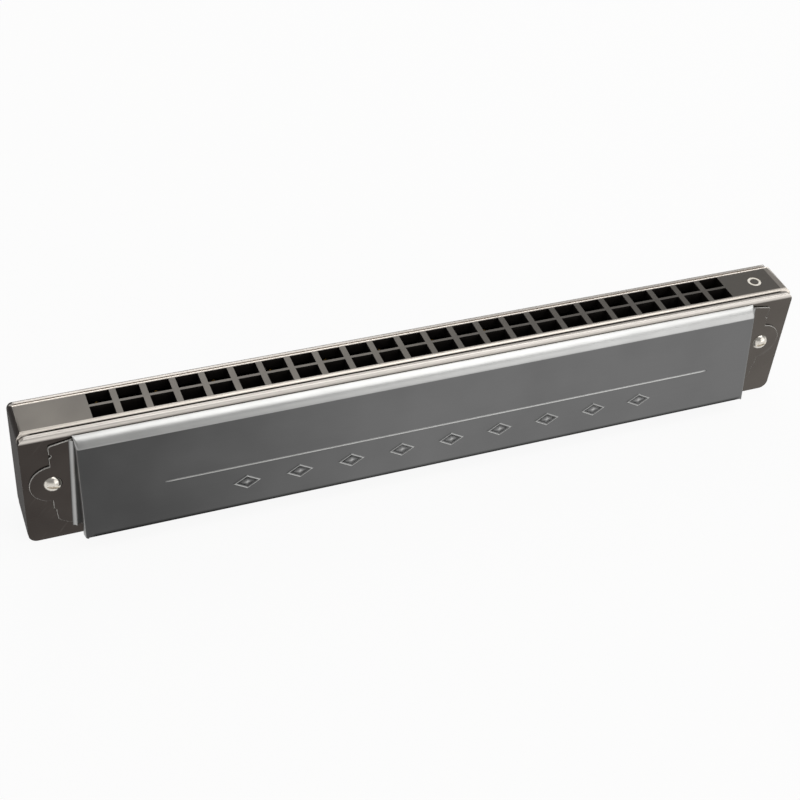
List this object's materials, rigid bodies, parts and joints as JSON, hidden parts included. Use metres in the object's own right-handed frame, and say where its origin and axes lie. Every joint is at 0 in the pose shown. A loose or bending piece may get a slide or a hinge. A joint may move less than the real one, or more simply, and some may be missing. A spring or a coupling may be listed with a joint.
{
  "type": "tremolo harmonica",
  "caption": "Long tremolo harmonica with a double row of square holes, thin metal reed plates, brass reeds and two flared metal covers held by screws at the ends.",
  "frame": {"origin": "middle of the back edge, where the instrument stands, halfway between the two covers", "axes": "+X along the instrument towards the low notes, +Y from the front cover to the rear cover, +Z from the back edge to the mouth face"},
  "size_m": [0.1836, 0.0246, 0.0298],
  "materials": {
    "comb_plastic": "satin metallic coat over a moulding",
    "plate_nickel": "polished warm nickel plating",
    "cover_steel": "satin pressed sheet, bright along the bends",
    "screw_nickel": "polished nickel with fine scratches",
    "reed_brass": "fine milled along the reed",
    "rivet_brass": "satin"
  },
  "bodies": {
    "instrument": {"comb": "comb_plastic", "reed_plate_front": "plate_nickel", "reed_plate_rear": "plate_nickel", "reed_rivets_front": "rivet_brass", "reed_rivets_rear": "rivet_brass", "plate_pins_front": "rivet_brass", "plate_pins_rear": "rivet_brass", "cover_front": "cover_steel", "cover_rear": "cover_steel", "cover_screws": "screw_nickel", "cover_nuts": "screw_nickel"},
    "reed_front_01": {"reed_front_01": "reed_brass"},
    "reed_front_02": {"reed_front_02": "reed_brass"},
    "reed_front_03": {"reed_front_03": "reed_brass"},
    "reed_front_04": {"reed_front_04": "reed_brass"},
    "reed_front_05": {"reed_front_05": "reed_brass"},
    "reed_front_06": {"reed_front_06": "reed_brass"},
    "reed_front_07": {"reed_front_07": "reed_brass"},
    "reed_front_08": {"reed_front_08": "reed_brass"},
    "reed_front_09": {"reed_front_09": "reed_brass"},
    "reed_front_10": {"reed_front_10": "reed_brass"},
    "reed_front_11": {"reed_front_11": "reed_brass"},
    "reed_front_12": {"reed_front_12": "reed_brass"},
    "reed_front_13": {"reed_front_13": "reed_brass"},
    "reed_front_14": {"reed_front_14": "reed_brass"},
    "reed_front_15": {"reed_front_15": "reed_brass"},
    "reed_front_16": {"reed_front_16": "reed_brass"},
    "reed_front_17": {"reed_front_17": "reed_brass"},
    "reed_front_18": {"reed_front_18": "reed_brass"},
    "reed_front_19": {"reed_front_19": "reed_brass"},
    "reed_front_20": {"reed_front_20": "reed_brass"},
    "reed_front_21": {"reed_front_21": "reed_brass"},
    "reed_front_22": {"reed_front_22": "reed_brass"},
    "reed_front_23": {"reed_front_23": "reed_brass"},
    "reed_front_24": {"reed_front_24": "reed_brass"},
    "reed_rear_01": {"reed_rear_01": "reed_brass"},
    "reed_rear_02": {"reed_rear_02": "reed_brass"},
    "reed_rear_03": {"reed_rear_03": "reed_brass"},
    "reed_rear_04": {"reed_rear_04": "reed_brass"},
    "reed_rear_05": {"reed_rear_05": "reed_brass"},
    "reed_rear_06": {"reed_rear_06": "reed_brass"},
    "reed_rear_07": {"reed_rear_07": "reed_brass"},
    "reed_rear_08": {"reed_rear_08": "reed_brass"},
    "reed_rear_09": {"reed_rear_09": "reed_brass"},
    "reed_rear_10": {"reed_rear_10": "reed_brass"},
    "reed_rear_11": {"reed_rear_11": "reed_brass"},
    "reed_rear_12": {"reed_rear_12": "reed_brass"},
    "reed_rear_13": {"reed_rear_13": "reed_brass"},
    "reed_rear_14": {"reed_rear_14": "reed_brass"},
    "reed_rear_15": {"reed_rear_15": "reed_brass"},
    "reed_rear_16": {"reed_rear_16": "reed_brass"},
    "reed_rear_17": {"reed_rear_17": "reed_brass"},
    "reed_rear_18": {"reed_rear_18": "reed_brass"},
    "reed_rear_19": {"reed_rear_19": "reed_brass"},
    "reed_rear_20": {"reed_rear_20": "reed_brass"},
    "reed_rear_21": {"reed_rear_21": "reed_brass"},
    "reed_rear_22": {"reed_rear_22": "reed_brass"},
    "reed_rear_23": {"reed_rear_23": "reed_brass"},
    "reed_rear_24": {"reed_rear_24": "reed_brass"}
  },
  "joints": [
    {"name": "reed_front_01_bend", "type": "hinge", "parent": "instrument", "child": "reed_front_01", "pos_m": [0.0739, -0.0047, 0.00835], "axis": [1, 0, 0], "range_deg": [-2.5, 2.5], "stiffness_Nm_per_rad": 0.0488},
    {"name": "reed_front_02_bend", "type": "hinge", "parent": "instrument", "child": "reed_front_02", "pos_m": [0.0675, -0.0067, 0.02345], "axis": [1, 0, 0], "range_deg": [-2.5, 2.5], "stiffness_Nm_per_rad": 0.0498},
    {"name": "reed_front_03_bend", "type": "hinge", "parent": "instrument", "child": "reed_front_03", "pos_m": [0.0611, -0.0047, 0.00896], "axis": [1, 0, 0], "range_deg": [-2.5, 2.5], "stiffness_Nm_per_rad": 0.0508},
    {"name": "reed_front_04_bend", "type": "hinge", "parent": "instrument", "child": "reed_front_04", "pos_m": [0.0547, -0.0067, 0.02345], "axis": [1, 0, 0], "range_deg": [-2.5, 2.5], "stiffness_Nm_per_rad": 0.0518},
    {"name": "reed_front_05_bend", "type": "hinge", "parent": "instrument", "child": "reed_front_05", "pos_m": [0.0483, -0.0047, 0.00957], "axis": [1, 0, 0], "range_deg": [-2.5, 2.5], "stiffness_Nm_per_rad": 0.0528},
    {"name": "reed_front_06_bend", "type": "hinge", "parent": "instrument", "child": "reed_front_06", "pos_m": [0.0419, -0.0067, 0.02345], "axis": [1, 0, 0], "range_deg": [-2.5, 2.5], "stiffness_Nm_per_rad": 0.054},
    {"name": "reed_front_07_bend", "type": "hinge", "parent": "instrument", "child": "reed_front_07", "pos_m": [0.0355, -0.0047, 0.01018], "axis": [1, 0, 0], "range_deg": [-2.5, 2.5], "stiffness_Nm_per_rad": 0.0551},
    {"name": "reed_front_08_bend", "type": "hinge", "parent": "instrument", "child": "reed_front_08", "pos_m": [0.0291, -0.0067, 0.02345], "axis": [1, 0, 0], "range_deg": [-2.5, 2.5], "stiffness_Nm_per_rad": 0.0563},
    {"name": "reed_front_09_bend", "type": "hinge", "parent": "instrument", "child": "reed_front_09", "pos_m": [0.0227, -0.0047, 0.01078], "axis": [1, 0, 0], "range_deg": [-2.5, 2.5], "stiffness_Nm_per_rad": 0.0576},
    {"name": "reed_front_10_bend", "type": "hinge", "parent": "instrument", "child": "reed_front_10", "pos_m": [0.0163, -0.0067, 0.02345], "axis": [1, 0, 0], "range_deg": [-2.5, 2.5], "stiffness_Nm_per_rad": 0.0589},
    {"name": "reed_front_11_bend", "type": "hinge", "parent": "instrument", "child": "reed_front_11", "pos_m": [0.0099, -0.0047, 0.01139], "axis": [1, 0, 0], "range_deg": [-2.5, 2.5], "stiffness_Nm_per_rad": 0.0603},
    {"name": "reed_front_12_bend", "type": "hinge", "parent": "instrument", "child": "reed_front_12", "pos_m": [0.0035, -0.0067, 0.02345], "axis": [1, 0, 0], "range_deg": [-2.5, 2.5], "stiffness_Nm_per_rad": 0.0617},
    {"name": "reed_front_13_bend", "type": "hinge", "parent": "instrument", "child": "reed_front_13", "pos_m": [-0.0029, -0.0047, 0.012], "axis": [1, 0, 0], "range_deg": [-2.5, 2.5], "stiffness_Nm_per_rad": 0.0633},
    {"name": "reed_front_14_bend", "type": "hinge", "parent": "instrument", "child": "reed_front_14", "pos_m": [-0.0093, -0.0067, 0.02345], "axis": [1, 0, 0], "range_deg": [-2.5, 2.5], "stiffness_Nm_per_rad": 0.0649},
    {"name": "reed_front_15_bend", "type": "hinge", "parent": "instrument", "child": "reed_front_15", "pos_m": [-0.0157, -0.0047, 0.01261], "axis": [1, 0, 0], "range_deg": [-2.5, 2.5], "stiffness_Nm_per_rad": 0.0666},
    {"name": "reed_front_16_bend", "type": "hinge", "parent": "instrument", "child": "reed_front_16", "pos_m": [-0.0221, -0.0067, 0.02345], "axis": [1, 0, 0], "range_deg": [-2.5, 2.5], "stiffness_Nm_per_rad": 0.0683},
    {"name": "reed_front_17_bend", "type": "hinge", "parent": "instrument", "child": "reed_front_17", "pos_m": [-0.0285, -0.0047, 0.01322], "axis": [1, 0, 0], "range_deg": [-2.5, 2.5], "stiffness_Nm_per_rad": 0.0702},
    {"name": "reed_front_18_bend", "type": "hinge", "parent": "instrument", "child": "reed_front_18", "pos_m": [-0.0349, -0.0067, 0.02345], "axis": [1, 0, 0], "range_deg": [-2.5, 2.5], "stiffness_Nm_per_rad": 0.0722},
    {"name": "reed_front_19_bend", "type": "hinge", "parent": "instrument", "child": "reed_front_19", "pos_m": [-0.0413, -0.0047, 0.01383], "axis": [1, 0, 0], "range_deg": [-2.5, 2.5], "stiffness_Nm_per_rad": 0.0743},
    {"name": "reed_front_20_bend", "type": "hinge", "parent": "instrument", "child": "reed_front_20", "pos_m": [-0.0477, -0.0067, 0.02345], "axis": [1, 0, 0], "range_deg": [-2.5, 2.5], "stiffness_Nm_per_rad": 0.0765},
    {"name": "reed_front_21_bend", "type": "hinge", "parent": "instrument", "child": "reed_front_21", "pos_m": [-0.0541, -0.0047, 0.01444], "axis": [1, 0, 0], "range_deg": [-2.5, 2.5], "stiffness_Nm_per_rad": 0.0788},
    {"name": "reed_front_22_bend", "type": "hinge", "parent": "instrument", "child": "reed_front_22", "pos_m": [-0.0605, -0.0067, 0.02345], "axis": [1, 0, 0], "range_deg": [-2.5, 2.5], "stiffness_Nm_per_rad": 0.0813},
    {"name": "reed_front_23_bend", "type": "hinge", "parent": "instrument", "child": "reed_front_23", "pos_m": [-0.0669, -0.0047, 0.01505], "axis": [1, 0, 0], "range_deg": [-2.5, 2.5], "stiffness_Nm_per_rad": 0.084},
    {"name": "reed_front_24_bend", "type": "hinge", "parent": "instrument", "child": "reed_front_24", "pos_m": [-0.0733, -0.0067, 0.02345], "axis": [1, 0, 0], "range_deg": [-2.5, 2.5], "stiffness_Nm_per_rad": 0.0868},
    {"name": "reed_rear_01_bend", "type": "hinge", "parent": "instrument", "child": "reed_rear_01", "pos_m": [0.0739, 0.0047, 0.00835], "axis": [1, 0, 0], "range_deg": [-2.5, 2.5], "stiffness_Nm_per_rad": 0.0488},
    {"name": "reed_rear_02_bend", "type": "hinge", "parent": "instrument", "child": "reed_rear_02", "pos_m": [0.0675, 0.0067, 0.02345], "axis": [1, 0, 0], "range_deg": [-2.5, 2.5], "stiffness_Nm_per_rad": 0.0498},
    {"name": "reed_rear_03_bend", "type": "hinge", "parent": "instrument", "child": "reed_rear_03", "pos_m": [0.0611, 0.0047, 0.00896], "axis": [1, 0, 0], "range_deg": [-2.5, 2.5], "stiffness_Nm_per_rad": 0.0508},
    {"name": "reed_rear_04_bend", "type": "hinge", "parent": "instrument", "child": "reed_rear_04", "pos_m": [0.0547, 0.0067, 0.02345], "axis": [1, 0, 0], "range_deg": [-2.5, 2.5], "stiffness_Nm_per_rad": 0.0518},
    {"name": "reed_rear_05_bend", "type": "hinge", "parent": "instrument", "child": "reed_rear_05", "pos_m": [0.0483, 0.0047, 0.00957], "axis": [1, 0, 0], "range_deg": [-2.5, 2.5], "stiffness_Nm_per_rad": 0.0528},
    {"name": "reed_rear_06_bend", "type": "hinge", "parent": "instrument", "child": "reed_rear_06", "pos_m": [0.0419, 0.0067, 0.02345], "axis": [1, 0, 0], "range_deg": [-2.5, 2.5], "stiffness_Nm_per_rad": 0.054},
    {"name": "reed_rear_07_bend", "type": "hinge", "parent": "instrument", "child": "reed_rear_07", "pos_m": [0.0355, 0.0047, 0.01018], "axis": [1, 0, 0], "range_deg": [-2.5, 2.5], "stiffness_Nm_per_rad": 0.0551},
    {"name": "reed_rear_08_bend", "type": "hinge", "parent": "instrument", "child": "reed_rear_08", "pos_m": [0.0291, 0.0067, 0.02345], "axis": [1, 0, 0], "range_deg": [-2.5, 2.5], "stiffness_Nm_per_rad": 0.0563},
    {"name": "reed_rear_09_bend", "type": "hinge", "parent": "instrument", "child": "reed_rear_09", "pos_m": [0.0227, 0.0047, 0.01078], "axis": [1, 0, 0], "range_deg": [-2.5, 2.5], "stiffness_Nm_per_rad": 0.0576},
    {"name": "reed_rear_10_bend", "type": "hinge", "parent": "instrument", "child": "reed_rear_10", "pos_m": [0.0163, 0.0067, 0.02345], "axis": [1, 0, 0], "range_deg": [-2.5, 2.5], "stiffness_Nm_per_rad": 0.0589},
    {"name": "reed_rear_11_bend", "type": "hinge", "parent": "instrument", "child": "reed_rear_11", "pos_m": [0.0099, 0.0047, 0.01139], "axis": [1, 0, 0], "range_deg": [-2.5, 2.5], "stiffness_Nm_per_rad": 0.0603},
    {"name": "reed_rear_12_bend", "type": "hinge", "parent": "instrument", "child": "reed_rear_12", "pos_m": [0.0035, 0.0067, 0.02345], "axis": [1, 0, 0], "range_deg": [-2.5, 2.5], "stiffness_Nm_per_rad": 0.0617},
    {"name": "reed_rear_13_bend", "type": "hinge", "parent": "instrument", "child": "reed_rear_13", "pos_m": [-0.0029, 0.0047, 0.012], "axis": [1, 0, 0], "range_deg": [-2.5, 2.5], "stiffness_Nm_per_rad": 0.0633},
    {"name": "reed_rear_14_bend", "type": "hinge", "parent": "instrument", "child": "reed_rear_14", "pos_m": [-0.0093, 0.0067, 0.02345], "axis": [1, 0, 0], "range_deg": [-2.5, 2.5], "stiffness_Nm_per_rad": 0.0649},
    {"name": "reed_rear_15_bend", "type": "hinge", "parent": "instrument", "child": "reed_rear_15", "pos_m": [-0.0157, 0.0047, 0.01261], "axis": [1, 0, 0], "range_deg": [-2.5, 2.5], "stiffness_Nm_per_rad": 0.0666},
    {"name": "reed_rear_16_bend", "type": "hinge", "parent": "instrument", "child": "reed_rear_16", "pos_m": [-0.0221, 0.0067, 0.02345], "axis": [1, 0, 0], "range_deg": [-2.5, 2.5], "stiffness_Nm_per_rad": 0.0683},
    {"name": "reed_rear_17_bend", "type": "hinge", "parent": "instrument", "child": "reed_rear_17", "pos_m": [-0.0285, 0.0047, 0.01322], "axis": [1, 0, 0], "range_deg": [-2.5, 2.5], "stiffness_Nm_per_rad": 0.0702},
    {"name": "reed_rear_18_bend", "type": "hinge", "parent": "instrument", "child": "reed_rear_18", "pos_m": [-0.0349, 0.0067, 0.02345], "axis": [1, 0, 0], "range_deg": [-2.5, 2.5], "stiffness_Nm_per_rad": 0.0722},
    {"name": "reed_rear_19_bend", "type": "hinge", "parent": "instrument", "child": "reed_rear_19", "pos_m": [-0.0413, 0.0047, 0.01383], "axis": [1, 0, 0], "range_deg": [-2.5, 2.5], "stiffness_Nm_per_rad": 0.0743},
    {"name": "reed_rear_20_bend", "type": "hinge", "parent": "instrument", "child": "reed_rear_20", "pos_m": [-0.0477, 0.0067, 0.02345], "axis": [1, 0, 0], "range_deg": [-2.5, 2.5], "stiffness_Nm_per_rad": 0.0765},
    {"name": "reed_rear_21_bend", "type": "hinge", "parent": "instrument", "child": "reed_rear_21", "pos_m": [-0.0541, 0.0047, 0.01444], "axis": [1, 0, 0], "range_deg": [-2.5, 2.5], "stiffness_Nm_per_rad": 0.0788},
    {"name": "reed_rear_22_bend", "type": "hinge", "parent": "instrument", "child": "reed_rear_22", "pos_m": [-0.0605, 0.0067, 0.02345], "axis": [1, 0, 0], "range_deg": [-2.5, 2.5], "stiffness_Nm_per_rad": 0.0813},
    {"name": "reed_rear_23_bend", "type": "hinge", "parent": "instrument", "child": "reed_rear_23", "pos_m": [-0.0669, 0.0047, 0.01505], "axis": [1, 0, 0], "range_deg": [-2.5, 2.5], "stiffness_Nm_per_rad": 0.084},
    {"name": "reed_rear_24_bend", "type": "hinge", "parent": "instrument", "child": "reed_rear_24", "pos_m": [-0.0733, 0.0067, 0.02345], "axis": [1, 0, 0], "range_deg": [-2.5, 2.5], "stiffness_Nm_per_rad": 0.0868}
  ]
}
